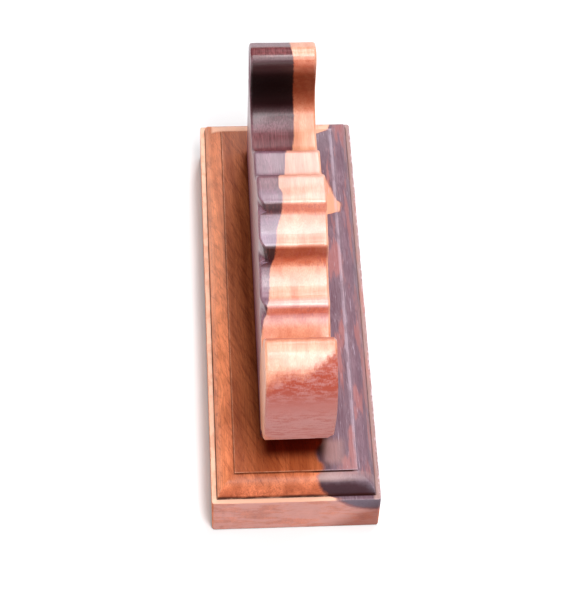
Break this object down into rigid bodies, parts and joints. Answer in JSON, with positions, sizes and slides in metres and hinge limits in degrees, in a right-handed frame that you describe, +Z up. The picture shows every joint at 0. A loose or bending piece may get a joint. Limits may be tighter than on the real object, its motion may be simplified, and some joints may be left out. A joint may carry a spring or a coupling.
{
  "type": "scrolled wooden stand",
  "caption": "Free-standing hardwood ornament or door stop: a scroll-cut board stands on edge on a plinth with a moulded edge, screwed and dowelled from below.",
  "frame": {"origin": "middle of the plinth's flat underside", "axes": "+Z up, +Y back along the length, away from the upright's rounded nose, +X to the right"},
  "size_m": [0.06, 0.173, 0.0975],
  "materials": {
    "plinth_wood": "oiled satin hardwood, orange-brown with a purple-brown heart streak on the right",
    "upright_wood": "oiled satin hardwood, pale orange sapwood with a purple-black heart on the left",
    "screw_brass": "brushed",
    "dowel_beech": "bare"
  },
  "bodies": {
    "root": {"plinth": "plinth_wood", "scrolled_upright": "upright_wood", "wood_screw_front": "screw_brass", "wood_screw_middle": "screw_brass", "wood_screw_rear": "screw_brass", "dowel_front": "dowel_beech", "dowel_rear": "dowel_beech"}
  },
  "joints": []
}
